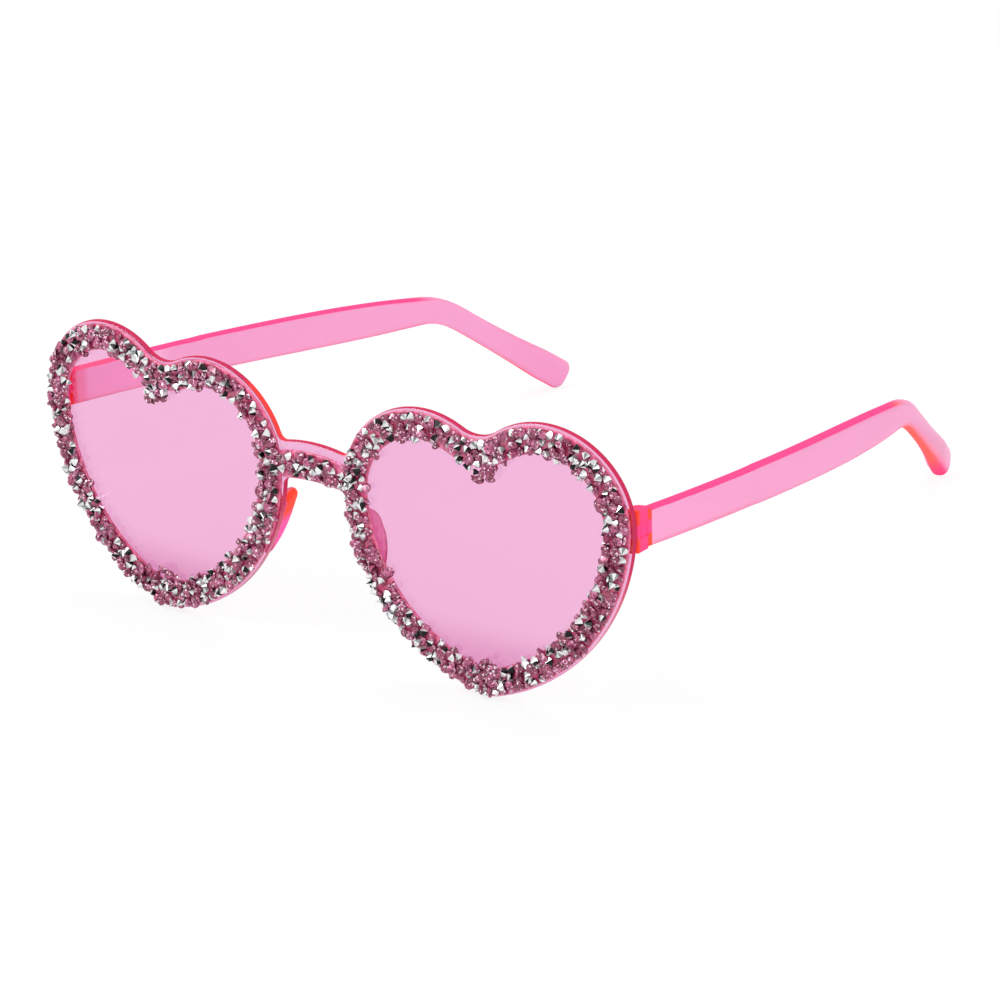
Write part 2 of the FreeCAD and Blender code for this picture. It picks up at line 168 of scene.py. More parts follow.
def clear_pink(name, look, blur=0.0):
    """Clear dyed plastic with a painted glow. look gives its tint, the painted glow's colour and how much of
    each part glows.
    """
    finish, place, facing = new_finish(name)
    tint, glow, lit_share = look(place, facing)
    smudge = place.speckle(smudge_scale).between(*smudge_range)
    clear = place.node("BsdfPrincipled", {}, {
        "Base Color": tint,
        "Roughness": polish + blur + smudge * smudge_dulls,
        "IOR": plastic_bend,
        "Transmission Weight": 1.0,
    })
    # The painted glow: a matte, emissive layer that shines the same under any lamp.
    lit = place.node("BsdfPrincipled", {}, {
        "Base Color": glow,
        "Roughness": edge_dull + smudge * edge_smudge,
        "Specular IOR Level": 0.0,
        "Emission Color": glow,
        "Emission Strength": edge_glow,
    })
    dyed = place.node("VolumeAbsorption", {}, {"Color": dye, "Density": dye_strength})
    surface = place.node("MixShader", {}, {"Fac": lit_share, 1: clear, 2: lit})
    place.node("OutputMaterial", {}, {"Surface": surface, "Volume": dyed})
    return finish


def plate_look(place, facing):
    """Clear faces, with painted shade deeper towards the tips. A painted rim glow: rose, orange-red by the
    bridge, pale below.
    """
    height = place.along("Z")
    tint = height.between(*tip_shade_heights).mix(lens_tint, tip_shade_tint)
    upper = height.between(*rim_heights)
    by_bridge = abs(abs(place.along("X")) - bridge_root).between(*bridge_root_reach)
    by_bridge *= height.between(*bridge_heights)
    rim = abs(facing.along("Y")).between(*rim_turn)
    glow = (bridge_orange_glow * by_bridge).mix(upper.mix(rim_glow_pale, rim_glow_rose), glow_orange_red)
    return tint, glow, rim * (rim_lit_below + rim_lit_gain * upper)


coat("front_plate", clear_pink("front_plastic", plate_look))

# The nose pads: two fins of the same plastic, bonded to the back of the plate beside the nose gap.
# They stand straight back and are deepest near the top. A painted glow stands in for the plate's light
# that they carry: magenta on their nose sides, orange-red at the upper ends of those, and pale elsewhere.
scene = bpy.context.scene
weld = 0.001 * MM
sharp = math.radians(40)
pad_lift = 1.8 * MM
pad_root = 0.3 * MM
pad_end = 0.01 * MM
pad_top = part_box("nose_pad_left")[1].z
pad_glow_heights = pad_top - 6.5 * MM, pad_top - 3.5 * MM
nose_side = 0.0, -5 * MM
pad_haze = 0.25
pad_lit = 0.30
nose_side_gain = 0.55
pad_glow_magenta = (0.860, 0.090, 0.360)
pad_glow_pale = (0.800, 0.210, 0.440)


def merged_copy(node):
    """A bmesh copy of a CAD node with its triangles joined up."""
    copy = bmesh.new()
    copy.from_mesh(nodes[node].data)
    bmesh.ops.remove_doubles(copy, verts=copy.verts[:], dist=weld)
    return copy


def new_piece(name, shape, finish, replaced, body="front"):
    """Makes an object of a bmesh, riding on a body in place of a CAD node."""
    mesh = bpy.data.meshes.new(name)
    shape.to_mesh(mesh)
    shape.free()
    mesh.materials.append(finish)
    piece = bpy.data.objects.new(name, mesh)
    scene.collection.objects.link(piece)
    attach(piece, body)
    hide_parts(replaced)
    return piece


def soften(shape):
    """Shades a shape smooth, but for its sharp edges."""
    for face in shape.faces:
        face.smooth = True
    for edge in shape.edges:
        edge.smooth = edge.calc_face_angle(0.0) < sharp


def straightened(node):
    """A copy of a nose pad without its flare, its free end moved up along the heart's edge."""
    fin = merged_copy(node)
    depths = [vertex.co.y for vertex in fin.verts]
    front, back = min(depths), max(depths)
    root = [vertex.co for vertex in fin.verts if vertex.co.y < front + pad_root]
    end = [vertex.co for vertex in fin.verts if vertex.co.y > back - pad_end]
    flare = sum(end, Vector()) / len(end) - sum(root, Vector()) / len(root)
    flare.y = 0
    rise = Vector((-flare.z, 0, flare.x)).normalized() * math.copysign(pad_lift, flare.x)
    for vertex in fin.verts:
        vertex.co += (rise - flare) * (vertex.co.y - front) / (back - front)
    soften(fin)
    return fin


def outer_side(place, facing):
    """How far out a surface lies if it faces outwards, and below 0 if it faces inwards."""
    return place.along("X") * facing.along("X")


def pad_look(place, facing):
    """Hazy behind the lens, with a painted glow: magenta on the side by the nose, orange-red at its top."""
    by_nose = outer_side(place, facing).between(*nose_side)
    upper = place.along("Z").between(*pad_glow_heights)
    glow = by_nose.mix(pad_glow_pale, upper.mix(pad_glow_magenta, glow_orange_red))
    return lens_tint, glow, pad_lit + nose_side_gain * by_nose


pad_plastic = clear_pink("nose_pad_plastic", pad_look, pad_haze)
for side in ("left", "right"):
    pad_node = "nose_pad_" + side
    new_piece("nose_fin_" + side, straightened(pad_node), pad_plastic, pad_node)

# The hinge blocks: small ears moulded in the same plastic, bonded behind each heart at its widest point.
# A painted glow covers them: hot pink on the ears and, along the bond line behind the plate,
# the brightest painted orange of the whole frame.
block_low, block_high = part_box("hinge_block_left")
hinge_level = (block_low.z + block_high.z) / 2
middle_ear = 1.3 * MM
ear_blend = 0.2 * MM
bond_depths = block_low.y + 1.5 * MM, block_low.y + 0.9 * MM
block_lit = 0.80


def off_middle(place):
    """1 above and below the hinge's middle knuckle, 0 at its level."""
    return abs(place.along("Z") - hinge_level).between(middle_ear - ear_blend, middle_ear + ear_blend)


def block_look(place, facing):
    """Painted glow: orange-red along the bond line, hot pink on the ears."""
    bond = place.along("Y").between(*bond_depths) * off_middle(place)
    return lens_tint, bond.mix(glow_hot_pink, glow_orange_red), block_lit


block_plastic = clear_pink("hinge_block_plastic", block_look)
for side in ("left", "right"):
    coat("hinge_block_" + side, block_plastic)

# The hinge screws: turned steel, slotted, sunk in the lower ear and running up through the knuckles.
# The lathe leaves fine rings on the head.
steel = (0.62, 0.62, 0.64)
bright_steel = (0.74, 0.74, 0.76)
steel_grain = 3000.0
steel_dull = 0.22
ring_scale = 800.0
ring_dulls = 0.14


def turned_steel(name, node):
    """Bright steel with the lathe's rings round the screw's own axis."""
    low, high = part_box(node)
    finish, place, _ = new_finish(name)
    centred = place.node("Mapping", {}, {"Vector": place, "Location": (low + high) / -2})
    settings = {"wave_type": "RINGS", "rings_direction": "Z"}
    rings = place.node("TexWave", settings, {"Vector": centred, "Scale": ring_scale}, 1)
    metal = place.node("BsdfPrincipled", {}, {
        "Base Color": place.speckle(steel_grain).mix(steel, bright_steel),
        "Metallic": 1.0,
        "Roughness": steel_dull + rings * ring_dulls,
    })
    place.node("OutputMaterial", {}, {"Surface": metal})
    return finish


for side in ("left", "right"):
    screw = "hinge_screw_" + side
    coat(screw, turned_steel(screw + "_steel", screw))

# The temples: tapering bars of the same plastic, moulded with a bend over the ear and a soft, hazy paddle.
# Each swings on its hinge screw. A painted glow stands in for the light running the long way through it:
# hot pink on the top edge, orange-red at the front end, over the bend and under the paddle.
# Painted light also brightens the inner faces behind the lens.
temple_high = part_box("temple_left")[1]
temple_front = block_high.y
paddle_length = 41 * MM
bend_y = temple_high.y - paddle_length
temple_haze = 0.12
temple_tint = (0.930, 0.700, 0.850)
temple_glow_pink = (0.775, 0.370, 0.595)
lens_lit = (0.930, 0.620, 0.820)
under_glow_pink = (0.700, 0.200, 0.380)
glow_warm_orange = (0.900, 0.110, 0.095)
end_face = temple_front + 1.5 * MM, temple_front + 1.0 * MM
root_depths = temple_front + 5 * MM, temple_front + 3 * MM
lens_depths = temple_front + 29.3 * MM, temple_front + 19.3 * MM
bend_top = bend_y + 6 * MM
bend_top_reach = 8 * MM, 2 * MM
paddle_depths = bend_y + 1 * MM, bend_y + 10 * MM
tip_depths = temple_high.y - 14 * MM, temple_high.y - 5 * MM
top_turn = 0.15, 0.55
under_turn = -0.15, -0.55
lower_side_turn = 0.05, -0.65
inner_side = -10 * MM, -40 * MM
outer_bend = -10 * MM, 10 * MM
outer_below = -25 * MM, -5 * MM
outer_orange = -20 * MM, 0.0
paddle_top_glow_fade = 0.9
root_glow_share = 0.6
temple_lit = 0.50
temple_lit_gain = 0.45

# Each row: distance behind the bend, height, thickness, and the power that sets how square the section is.
paddle_sections = [
    (-60 * MM, 7.30 * MM, 2.62 * MM, 9.0),
    (-32 * MM, 7.50 * MM, 2.62 * MM, 8.5),
    (-20 * MM, 7.45 * MM, 2.65 * MM, 7.5),
    (-8 * MM, 7.00 * MM, 2.65 * MM, 6.0),
    (2 * MM, 6.10 * MM, 2.70 * MM, 4.5),
    (9 * MM, 5.40 * MM, 2.65 * MM, 3.2),
    (16 * MM, 5.00 * MM, 2.65 * MM, 2.5),
    (24 * MM, 5.30 * MM, 2.85 * MM, 2.3),
    (30 * MM, 5.90 * MM, 3.60 * MM, 2.4),
    (36 * MM, 6.90 * MM, 4.70 * MM, 2.6),
    (50 * MM, 6.90 * MM, 4.70 * MM, 2.6),
]
ring_sides = 40
ring_step = 2.0 * MM
ease_shifts = -3.0 * MM, -1.5 * MM, 0.0, 1.5 * MM, 3.0 * MM
droop = 0.007
corner_y = bend_y + 9 * MM
corner_reach = 5 * MM
tip_rise = 0.3 * MM
tip_round = 2.0 * MM
tip_short = 1.0 * MM
tip_room = 6 * MM
tip_rings = 6
tip_turn = math.radians(82)
tip_flat = 0.25


def temple_look(place, facing):
    """Painted glow: pink sides, a hot pink top, orange-red at the front end, over the bend and under the
    paddle.
    """
    back, rise = place.along("Y"), facing.along("Z")
    outer = outer_side(place, facing)
    inner = outer.between(*inner_side)
    paddle = back.between(*paddle_depths)
    near_tip = back.between(*tip_depths)
    front_end = back.between(*end_face)
    over_bend = abs(back - bend_top).between(*bend_top_reach) * outer.between(*outer_bend)
    bar_top = rise.between(*top_turn) * (1 - paddle_top_glow_fade * paddle)
    lower_side = rise.between(*lower_side_turn) * outer.between(*outer_below)
    under = rise.between(*under_turn) * (1 - paddle) + lower_side * paddle
    below_paddle = outer.between(*outer_orange).mix(glow_hot_pink, glow_warm_orange)
    below = paddle.mix(under_glow_pink, near_tip.mix(below_paddle, glow_hot_pink))
    # Painted light: the inner faces behind the lens are lightened, as if lit through the lens.
    by_lens = inner * back.between(*lens_depths)
    glow = under.mix(by_lens.mix(temple_glow_pink, lens_lit), below)
    glow = bar_top.mix(glow, over_bend.mix(glow_hot_pink, glow_warm_orange))
    inner_root = inner * back.between(*root_depths)
    glow = (root_glow_share * inner_root).mix(glow, glow_hot_pink)
    outer_ears = off_middle(place) * (1 - inner)
    glow = front_end.mix(glow, outer_ears.mix(glow_hot_pink, glow_orange_red))
    warm = bar_top + under * paddle
    return temple_tint, glow, temple_lit + temple_lit_gain * warm.math("MAXIMUM", warm, front_end)


def sized(offset):
    """The temple's height, thickness and power at a distance behind the bend."""
    offset = max(offset, paddle_sections[0][0])
    for (low, *first), (high, *second) in zip(paddle_sections, paddle_sections[1:]):
        if offset <= high:
            share = (offset - low) / (high - low)
            return [start + (end - start) * share for start, end in zip(first, second)]


def eased(offset):
    """The same sizes, evened out over a few millimetres."""
    near = [sized(offset + shift) for shift in ease_shifts]
    return [sum(sizes) / len(near) for sizes in zip(*near)]


def sliced(shape, y, clear_front=False, clear_back=False):
    """Cuts a shape across at a distance back, and gives the cut's vertices."""
    geometry = shape.verts[:] + shape.edges[:] + shape.faces[:]
    made = bmesh.ops.bisect_plane(shape, geom=geometry, plane_co=(0, y, 0), plane_no=(0, 1, 0),
                                  clear_inner=clear_front, clear_outer=clear_back)
    return [item for item in made["geom_cut"] if isinstance(item, bmesh.types.BMVert)]


def middle_at(shape, y):
    """The middle of a shape's cross-section at a distance back."""
    copy = shape.copy()
    spots = [vertex.co for vertex in sliced(copy, y)]
    low, high = [Vector([pick(spot[axis] for spot in spots) for axis in range(3)]) for pick in (min, max)]
    copy.free()
    return (low + high) / 2


def ring(shape, middle, ahead, height, thickness, power):
    """A closed ring across the paddle, and its edges."""
    side = Vector((ahead.y, -ahead.x, 0)).normalized()
    upright = side.cross(ahead)
    made = bmesh.ops.create_circle(shape, segments=ring_sides, radius=1.0)["verts"]
    for vertex in made:
        across, up = (math.copysign(abs(part) ** (2 / power), part) for part in vertex.co.xy)
        vertex.co = middle + side * across * thickness / 2 + upright * up * height / 2
    return list(dict.fromkeys(edge for vertex in made for edge in vertex.link_edges))


def rebend(middles):
    """Moves a centre line's bend to the corner: straight bar, short curve, straight paddle."""
    first, last = middles[0].copy(), middles[-1].copy()
    slope = (middles[2].z - first.z) / (middles[2].y - first.y) - droop
    corner_z = first.z + slope * (corner_y - first.y)
    dip = (last.z + tip_rise - corner_z) / (last.y - corner_y)
    for middle in middles:
        curve = min(max(middle.y - corner_y + corner_reach, 0), 2 * corner_reach)
        turned = curve * curve / (4 * corner_reach) + max(middle.y - corner_y - corner_reach, 0)
        middle.z = first.z + slope * (middle.y - first.y) + (dip - slope) * turned


def rounded_tip(middle, ahead, height, thickness, power):
    """Where the rings lie that round off the paddle's end, and their sizes."""
    left = (temple_high.y - middle.y) / ahead.y - tip_round - tip_short
    stations = []
    for index in range(tip_rings + 1):
        angle = tip_turn * index / tip_rings
        place = middle + ahead * (left + tip_round * math.sin(angle))
        end_height = height * (tip_flat + (1 - tip_flat) * math.cos(angle))
        stations.append((place, ahead, end_height, thickness * math.cos(angle), power))
    return stations


def paddle_stations(rear, start):
    """Where each ring lies on a temple's rear, the way it faces, its height, thickness and power."""
    count = round((temple_high.y - tip_room - start) / ring_step)
    middles = [middle_at(rear, start + ring_step * index) for index in range(count + 1)]
    rebend(middles)
    stations = []
    for before, middle, after in zip(middles, middles[1:], middles[2:]):
        stations.append((middle, (after - before).normalized(), *eased(middle.y - bend_y)))
    return stations + rounded_tip(*stations[-1])


def soft_temple(node):
    """A CAD temple with its rear swept anew, rounder at the paddle and sharper at the bend."""
    bar = merged_copy(node)
    rear = bar.copy()
    start = bend_y + paddle_sections[0][0]
    sliced(rear, start - ring_step, clear_front=True)
    joint = set(sliced(bar, start, clear_back=True))
    loop = [edge for edge in bar.edges if edge.is_boundary and joint.issuperset(edge.verts)]
    for station in paddle_stations(rear, start):
        after = ring(bar, *station)
        bmesh.ops.bridge_loops(bar, edges=loop + after)
        loop = after
    rear.free()
    bmesh.ops.edgeloop_fill(bar, edges=loop)
    bmesh.ops.recalc_face_normals(bar, faces=bar.faces[:])
    soften(bar)
    return bar


def apply_modifiers(piece):
    """Turns a piece's modifiers into its mesh."""
    evaluated = piece.evaluated_get(bpy.context.evaluated_depsgraph_get())
    finished = bpy.data.meshes.new_from_object(evaluated)
    piece.modifiers.clear()
    piece.data = finished


temple_plastic = clear_pink("temple_plastic", temple_look, temple_haze)
for side in ("left", "right"):
    temple_node = "temple_" + side
    temple = new_piece("soft_temple_" + side, soft_temple(temple_node), temple_plastic,
                       temple_node, body=temple_node)
    even = temple.modifiers.new("even", "WEIGHTED_NORMAL")
    even.keep_sharp = True
    apply_modifiers(temple)

# The resin beds: strips of pink glue, brushed on round each heart and over the bridge.
# The glue has welled up unevenly between the stones and set glossy.
deep_resin_and_shade = (0.480, 0.040, 0.125)
light_resin_and_shade = (0.740, 0.100, 0.240)
resin_pale = (0.850, 0.250, 0.470)
resin_grain = 0.22 * MM
resin_swell = 0.22 * MM
resin_lump = 1.1 * MM
lump_falloff = 1.0
lump_step = 2.0
lump_octaves = 2
front_turn = -0.3
pool_scale = 700.0
pool_detail = 3.0
pool_range = 0.35, 0.65
resin_polish = 0.12
resin_mottle = 1500.0
mottle_dulls = 0.2
seat_crown = 0.34 * MM
seat_flat = math.radians(1)
bare_reach = 1.1 * MM


def set_resin(name):
    """Glossy set glue in pools of its own deep and lighter reds, with painted shade between the stones; paler
    where bare.
    """
    finish, place, _ = new_finish(name)
    thick = place.speckle(pool_scale, pool_detail).between(*pool_range)
    bare = place.node("Attribute", {"attribute_name": "bare"}, {}, "Fac")
    glue = place.node("BsdfPrincipled", {}, {
        # Painted shade: near the stones the glue takes its darker reds, away from them the pale one.
        "Base Color": bare.mix(thick.mix(light_resin_and_shade, deep_resin_and_shade), resin_pale),
        "Roughness": resin_polish + place.speckle(resin_mottle) * mottle_dulls,
        "Coat Weight": 0.6,
    })
    place.node("OutputMaterial", {}, {"Surface": glue})
    return finish


def stone_seats(node):
    """Where each CAD stone of a node lies: the middle of its girdle, the way its table faces, its turn.

    The table is a stone's only face with more than four corners.
    """
    copy = merged_copy(node)
    bmesh.ops.dissolve_limit(copy, angle_limit=seat_flat, verts=copy.verts[:], edges=copy.edges[:])
    seats = []
    for face in copy.faces:
        if len(face.verts) > 4:
            middle = face.calc_center_median()
            spoke = (face.verts[0].co - middle).normalized()
            seats.append((middle - face.normal * seat_crown, face.normal.copy(), spoke))
    copy.free()
    return seats


first_layer = {}
for stretch in ("left", "right", "bridge"):
    first_layer[stretch] = stone_seats("stones_pink_" + stretch), stone_seats("stones_silver_" + stretch)
every_seat = [seat for both in first_layer.values() for seats in both for seat in seats]
seat_tree = KDTree(len(every_seat))
for index, (middle, _, _) in enumerate(every_seat):
    seat_tree.insert(middle, index)
seat_tree.balance()
resin = set_resin("pink_resin")
for stretch in ("left", "right", "bridge"):
    bed_node = "stone_bed_" + stretch
    bed = new_piece("resin_" + stretch, merged_copy(bed_node), resin, bed_node)
    remesh = bed.modifiers.new("even", "REMESH")
    remesh.mode = "VOXEL"
    remesh.voxel_size = resin_grain
    apply_modifiers(bed)
    shape = bmesh.new()
    shape.from_mesh(bed.data)
    for vertex in shape.verts:
        if vertex.normal.y < front_turn:
            lump = noise.fractal(vertex.co / resin_lump, lump_falloff, lump_step, lump_octaves)
            vertex.co.y -= lump * resin_swell
    for face in shape.faces:
        face.smooth = True
    # How bare of stones each spot is, which lifts the painted shade away from them.
    bare = [min(max(seat_tree.find(vertex.co)[2] / bare_reach - 1, 0), 1) for vertex in shape.verts]
    shape.to_mesh(bed.data)
    shape.free()
    bed.data.attributes.new("bare", "FLOAT", "POINT").data.foreach_set("value", bare)

# The rhinestones: pressed acrylic, foiled silver behind, shaken over the wet resin in two layers.
# Most lie table up and show their pink; the rest lie table down with the foiled point up.
# Some slid past the band's edges, and they lie in heaps under the cleft and above the tip.
# Their sparkle is painted: each facet keeps a fixed tone holding painted glints, reflections and shade.
outward, sideways = Vector((0, -1, 0)), Vector((1, 0, 0))
shake_seed = 11
stone_sides = 8
stone_radius = 0.90 * MM
pink_sizes = 0.85, 1.25
silver_sizes = 0.80, 1.12
table_share = 0.56
break_share = 0.80
break_rise_share = 0.58
girdle_share = 0.06
crown_height = 0.36 * MM
pink_depth = 0.80 * MM
silver_depth = 1.05 * MM
facet_flat = math.radians(2)
table_turn = 0.99
girdle_turn = 0.05
first_tilt = math.radians(28)
second_tilt = math.radians(65)
second_rise = 0.50 * MM
second_spacing = 1.75 * MM
second_silver_share = 0.36
neighbour_reach = 2.4 * MM
edge_reach = 3.0 * MM
edge_pull = 0.6 * MM
inner_share = 0.55
outer_share = 0.30
outer_level = 30.0 * MM
lowest_seat = 1.35 * MM
inner_slide = 0.5 * MM, 1.2 * MM
outer_slide = 0.2 * MM, 0.6 * MM
slid_drop = 0.2 * MM
gap_reach = 4.2 * MM
gap_spacing = 1.1 * MM
heap_spacing = 1.2 * MM
heap_rise = -0.2 * MM, 0.5 * MM
heap_tries = 8
cleft_count = 16
cleft_reach = 2.8 * MM
cleft_drop = Vector((0, 0, -1.0 * MM))
tip_count = 8
tip_reach = 2.0 * MM
tip_lift = Vector((0, 0, 0.6 * MM))
pink_tone = 0.18, 0.55
pink_spread = -0.15, 0.25
pink_painted_dark = 0.1
pink_painted_dark_share = 0.18
painted_glint_tone = 0.85, 1.0
painted_glint_above = 0.90
white_reflection_tone = 0.80, 1.0
grey_reflection_tone = 0.38, 0.92
silver_dark_reflection = 0.04
silver_dark_reflection_counts = 1, 2, 3
facet_grain = 4000.0
grain_dulls = 0.06
# The pink stones' colours; the palest stop is the painted glint.
pink_and_glint_stops = [
    (0.00, (0.061, 0.010, 0.023)),
    (0.25, (0.225, 0.028, 0.078)),
    (0.50, (0.415, 0.072, 0.172)),
    (0.75, (0.580, 0.165, 0.325)),
    (1.00, (0.913, 0.753, 0.839)),
]
# Colours of the silver points' painted reflections, from dark to white.
silver_reflection_stops = [
    (0.00, (0.008, 0.008, 0.009)),
    (0.10, (0.025, 0.025, 0.027)),
    (0.45, (0.270, 0.275, 0.285)),
    (0.75, (0.640, 0.645, 0.655)),
    (1.00, (0.930, 0.930, 0.935)),
]


def cut_stone(name, depth):
    """One cut stone, table up: a table in sectors, star and kite facets, a girdle and a pointed back."""
    stone = bmesh.new()
    girdle = stone_radius * girdle_share
    rings = [
        (stone_radius * table_share, crown_height, 0.0),
        (stone_radius * break_share, crown_height * break_rise_share, math.pi / stone_sides),
        (stone_radius, girdle / 2, 0.0),
        (stone_radius, -girdle / 2, 0.0),
    ]
    for ring_radius, height, turn in rings:
        ring_place = Matrix.Translation((0, 0, height)) @ Matrix.Rotation(turn, 4, "Z")
        bmesh.ops.create_circle(stone, segments=stone_sides, radius=ring_radius, matrix=ring_place)
    stone.verts.new((0, 0, -depth))
    bmesh.ops.delete(stone, geom=stone.edges[:], context="EDGES_FACES")
    bmesh.ops.convex_hull(stone, input=stone.verts[:])
    bmesh.ops.dissolve_limit(stone, angle_limit=facet_flat, verts=stone.verts[:], edges=stone.edges[:])
    bmesh.ops.recalc_face_normals(stone, faces=stone.faces[:])
    bmesh.ops.poke(stone, faces=[face for face in stone.faces if face.normal.z > table_turn])
    mesh = bpy.data.meshes.new(name)
    stone.to_mesh(mesh)
    stone.free()
    return mesh


def tumbled(seat, most, draws):
    """The same seat, tipped about a random line across the stone."""
    middle, facing, spoke = seat
    line = Matrix.Rotation(2 * math.pi * draws.random(), 3, facing) @ spoke
    tip = Matrix.Rotation(most * draws.random(), 3, line)
    return middle, tip @ facing, tip @ spoke


def second_layer(seats, draws):
    """Seats in the dips between neighbouring stones, a little further out than they are."""
    raised = []
    for middle, _, _ in draws.sample(seats, len(seats)):
        near = [other for other, _, _ in seats if 0 < (other - middle).length < neighbour_reach]
        if near:
            dip = (middle + draws.choice(near)) / 2 + outward * second_rise
            if all((dip - other).length > second_spacing for other, _, _ in raised):
                raised.append((dip, outward, sideways))
    return raised


def in_gaps(seats, others, taken):
    """Seats midway between first-layer stones wherever bare resin would show."""
    found = []
    for middle, _, _ in seats:
        for other, _, _ in others:
            if neighbour_reach < (other - middle).length < gap_reach:
                place = (middle + other) / 2
                if all((place - spot).length > gap_spacing for spot, _, _ in others + taken + found):
                    found.append((place, outward, sideways))
    return found


def past_edges(seats, draws):
    """Seats of stones that slid past the band: inwards all round, outwards on the lower half."""
    centre = sum((middle for middle, _, _ in seats), Vector()) / len(seats)
    slid = []
    for middle, _, _ in seats:
        near = [other - middle for other, _, _ in seats if 0 < (other - middle).length < edge_reach]
        pull = sum(near, Vector()) / max(len(near), 1)
        pull.y = 0
        if pull.length > edge_pull:
            inwards = pull.dot(centre - middle) < 0
            share = inner_share if inwards else outer_share * (middle.z < outer_level)
            slide = draws.uniform(*(inner_slide if inwards else outer_slide))
            place = middle - pull.normalized() * slide - outward * slid_drop
            if draws.random() < share and place.z > lowest_seat:
                slid.append((place, outward, sideways))
    return slid


def heap(seats, top, count, reach, draws):
    """Seats heaped about a place, no two in the same spot."""
    level = min(seats, key=lambda seat: (seat[0] - top).length)[0].y
    heaped = []
    for _ in range(count * heap_tries):
        turn, spread = 2 * math.pi * draws.random(), reach * math.sqrt(draws.random())
        place = Vector((top.x + spread * math.cos(turn), level, top.z + spread * math.sin(turn)))
        place += outward * draws.uniform(*heap_rise)
        if len(heaped) < count and all((place - other).length > heap_spacing for other, _, _ in heaped):
            heaped.append((place, outward, sideways))
    return heaped


def corner_heaps(seats, draws):
    """Heaps on the lens under a heart's cleft and above its tip."""
    tip = min((middle for middle, _, _ in seats), key=lambda middle: middle.z)
    by_tip = [middle.copy() for middle, _, _ in seats if abs(middle.x - tip.x) < edge_reach]
    above_tip = max((middle for middle in by_tip if middle.z < outer_level / 2), key=lambda middle: middle.z)
    under_cleft = min((middle for middle in by_tip if middle.z > outer_level), key=lambda middle: middle.z)
    above_tip.x = under_cleft.x = tip.x
    return (heap(seats, under_cleft + cleft_drop, cleft_count, cleft_reach, draws)
            + heap(seats, above_tip + tip_lift, tip_count, tip_reach, draws))


def pink_tones_and_glints(mesh, draws):
    """A tone for each facet, about the stone's own tone: painted shade on the girdle, painted dark
    reflections, painted glints.
    """
    body = draws.uniform(*pink_tone)
    tones = []
    for facet in mesh.polygons:
        chance = draws.random()
        tone = body + draws.uniform(*pink_spread)
        if abs(facet.normal.z) < girdle_turn or chance < pink_painted_dark_share:
            tone = pink_painted_dark * draws.random()
        elif chance > painted_glint_above:
            tone = draws.uniform(*painted_glint_tone)
        tones.append(tone)
    return tones


def silver_reflections(mesh, draws):
    """Painted reflections, a tone for each facet: white and grey sectors in turn, one to three painted dark.
    """
    start = draws.randrange(stone_sides)
    dark_count = draws.choice(silver_dark_reflection_counts)
    tones = []
    for facet in mesh.polygons:
        turn = math.atan2(facet.center.y, facet.center.x) / (2 * math.pi)
        sector = (math.floor(turn * stone_sides) - start) % stone_sides
        tone = draws.uniform(*(white_reflection_tone if sector % 2 else grey_reflection_tone))
        tones.append(silver_dark_reflection * draws.random() if sector < dark_count else tone)
    return tones


def set_stones(name, seats, stone, sizes, tones_of, finish, replaced, draws):
    """Copies of one stone, each on its seat, with a tone of its own on every facet."""
    band = bmesh.new()
    tones = []
    for middle, facing, spoke in seats:
        turn = Matrix((spoke, facing.cross(spoke), facing)).transposed().to_4x4()
        copy = stone.copy()
        copy.transform(Matrix.Translation(middle) @ turn @ Matrix.Scale(draws.uniform(*sizes), 4))
        band.from_mesh(copy)
        bpy.data.meshes.remove(copy)
        tones += tones_of(stone, draws)
    mesh = new_piece(name, band, finish, replaced).data
    mesh.attributes.new("facet_tone", "FLOAT", "FACE").data.foreach_set("value", tones)


def faceted(name, stops, metallic, roughness, gloss):
    """A cut stone's finish: each facet takes the colour of its own tone, painted glints and reflections
    included.
    """
    finish, place, _ = new_finish(name)
    tone = place.node("Attribute", {"attribute_name": "facet_tone"}, {}, "Fac")
    cut = place.node("BsdfPrincipled", {}, {
        "Base Color": place.node("ValToRGB", {"stops": stops}, {"Fac": tone}),
        "Metallic": metallic,
        "Roughness": roughness + place.speckle(facet_grain) * grain_dulls,
        "Coat Weight": gloss,
        "Coat Roughness": 0.02,
    })
    place.node("OutputMaterial", {}, {"Surface": cut})
    return finish


draws = random.Random(shake_seed)
pink_stone, silver_stone = cut_stone("pink_stone", pink_depth), cut_stone("silver_stone", silver_depth)
pink_finish = faceted("pink_acrylic", pink_and_glint_stops, metallic=0.15, roughness=0.08, gloss=0.35)
silver_finish = faceted("silver_foil", silver_reflection_stops, metallic=0.7, roughness=0.10, gloss=0.0)
for stretch, (pink_first, silver_first) in first_layer.items():
    pinks = [tumbled(seat, first_tilt, draws) for seat in pink_first]
    silvers = [tumbled(seat, first_tilt, draws) for seat in silver_first]
    seats = pink_first + silver_first
    added = second_layer(seats, draws)
    added += in_gaps(seats, every_seat, added)
    if stretch != "bridge":
        added += past_edges(seats, draws) + corner_heaps(seats, draws)
    for middle, facing, spoke in added:
        point_up = draws.random() < second_silver_share
        seat = tumbled((middle, facing * -1 if point_up else facing, spoke), second_tilt, draws)
        (silvers if point_up else pinks).append(seat)
    set_stones("rhinestones_pink_" + stretch, pinks, pink_stone, pink_sizes, pink_tones_and_glints,
               pink_finish, "stones_pink_" + stretch, draws)
    set_stones("rhinestones_silver_" + stretch, silvers, silver_stone, silver_sizes, silver_reflections,
               silver_finish, "stones_silver_" + stretch, draws)

# The studio: a wide sheet of plain white paper that keeps a faint shadow of the glasses standing on it.
# Three soft panels light them from above and both sides. The camera looks down from the wearer's left.
azimuth, elevation, roll = math.radians(37.0), math.radians(21.38), math.radians(-1.40)
distance = 822.0 * MM
focal_length = 154.6
sensor_width = 36.0
nearest_seen = 10 * MM
target = Vector((12.86 * MM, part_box("front_plate")[0].y + 40.0 * MM, 20.42 * MM))

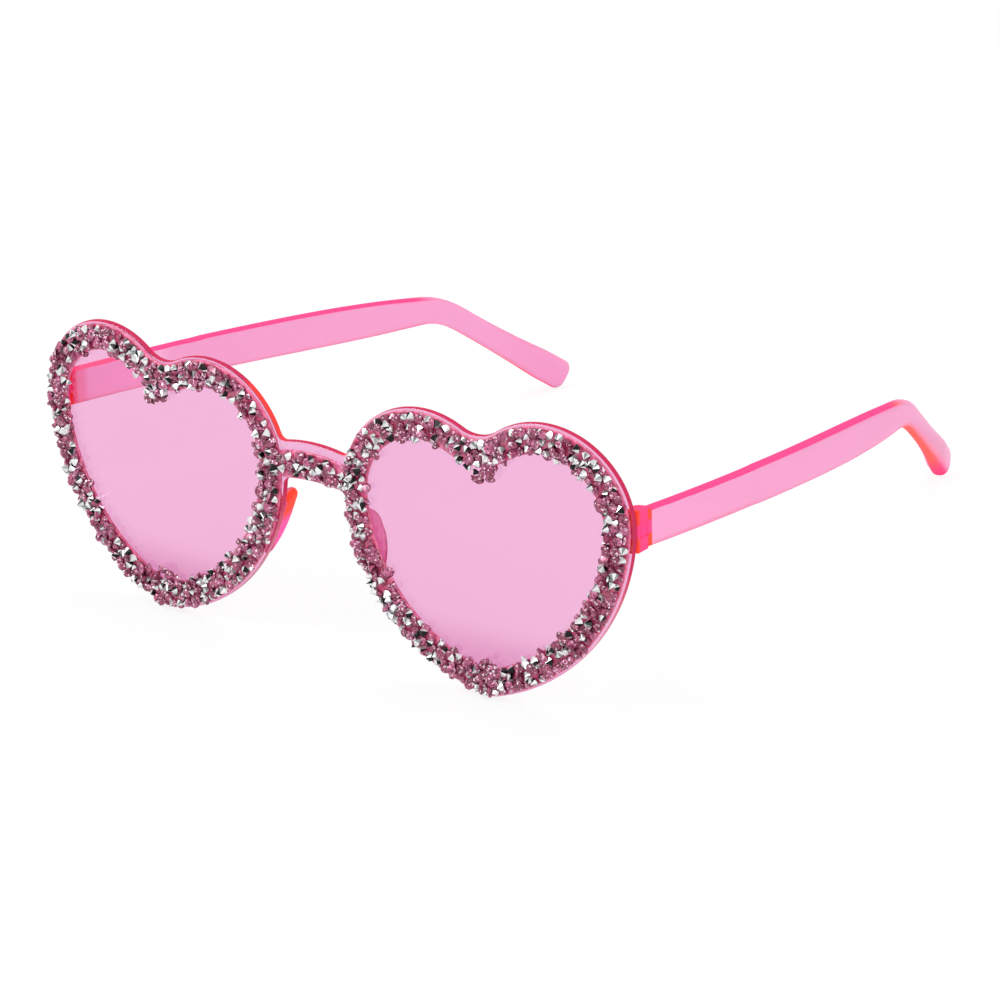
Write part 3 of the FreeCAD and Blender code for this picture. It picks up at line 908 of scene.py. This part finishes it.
back = Vector((
    math.sin(azimuth) * math.cos(elevation),
    -math.cos(azimuth) * math.cos(elevation),
    math.sin(elevation),
))
level = Vector((math.cos(azimuth), math.sin(azimuth), 0))
upward = back.cross(level)
right = level * math.cos(roll) + upward * math.sin(roll)
up = upward * math.cos(roll) - level * math.sin(roll)
lens = bpy.data.cameras.new("camera")
lens.lens = focal_length
lens.sensor_width = sensor_width
lens.clip_start = nearest_seen
camera = bpy.data.objects.new("camera", lens)
turned = Matrix((right, up, back)).transposed().to_4x4()
camera.matrix_world = Matrix.Translation(target + back * distance) @ turned
scene.collection.objects.link(camera)
scene.camera = camera
scene.view_settings.view_transform = "Standard"

panel_aim = Vector((0, -0.03, 0.02))


def area_light(name, place, size, watts):
    """A soft panel that faces the middle of the glasses."""
    lamp = bpy.data.lights.new(name, "AREA")
    lamp.energy, lamp.size = watts, size
    panel = bpy.data.objects.new(name, lamp)
    panel.location = place
    panel.rotation_euler = (panel_aim - Vector(place)).to_track_quat("-Z", "Y").to_euler()
    scene.collection.objects.link(panel)


area_light("key_panel", place=(-0.45, -0.55, 0.70), size=0.50, watts=4.0)
area_light("fill_panel", place=(0.70, -0.35, 0.45), size=0.60, watts=2.5)
area_light("top_panel", place=(0.0, 0.25, 0.90), size=0.70, watts=4.0)


def seen_white(tree):
    """1 for rays that show the background: straight, mirrored or through the plastic."""
    kinds = ("Is Camera Ray", "Is Glossy Ray", "Is Transmission Ray")
    camera_ray, glossy_ray, through_ray = [Tone(tree).node("LightPath", {}, {}, kind) for kind in kinds]
    return (camera_ray + glossy_ray + through_ray).between(0.0, 1.0)


white = (1.0, 1.0, 1.0)
paper_white = (0.92, 0.92, 0.92)
sky_light = 0.55
world = bpy.data.worlds.new("studio")
world.use_nodes = True
scene.world = world
world.node_tree.nodes.clear()
shown = seen_white(world.node_tree)
soft = shown.node("Background", {}, {"Color": white, "Strength": sky_light})
plain = shown.node("Background", {}, {"Color": white, "Strength": 1.0})
shown.node("OutputWorld", {}, {"Surface": shown.node("MixShader", {}, {"Fac": shown, 1: soft, 2: plain})})

floor_side = 6.0
floor_drop = 0.05 * MM
shadow_share = 0.15
floor_shape = bmesh.new()
bmesh.ops.create_grid(floor_shape, x_segments=1, y_segments=1, size=floor_side / 2)
floor_mesh = bpy.data.meshes.new("floor")
floor_shape.to_mesh(floor_mesh)
floor_shape.free()
floor = bpy.data.objects.new("floor", floor_mesh)
floor.location.z = -floor_drop
scene.collection.objects.link(floor)
paper, _, _ = new_finish("white_paper")
shown = seen_white(paper.node_tree)
matte = shown.node("BsdfDiffuse", {}, {"Color": paper_white})
bright = shown.node("Emission", {}, {"Color": white, "Strength": 1.0})
surface = shown.node("MixShader", {}, {"Fac": shown * (1 - shadow_share), 1: matte, 2: bright})
shown.node("OutputMaterial", {}, {"Surface": surface})
floor_mesh.materials.append(paper)
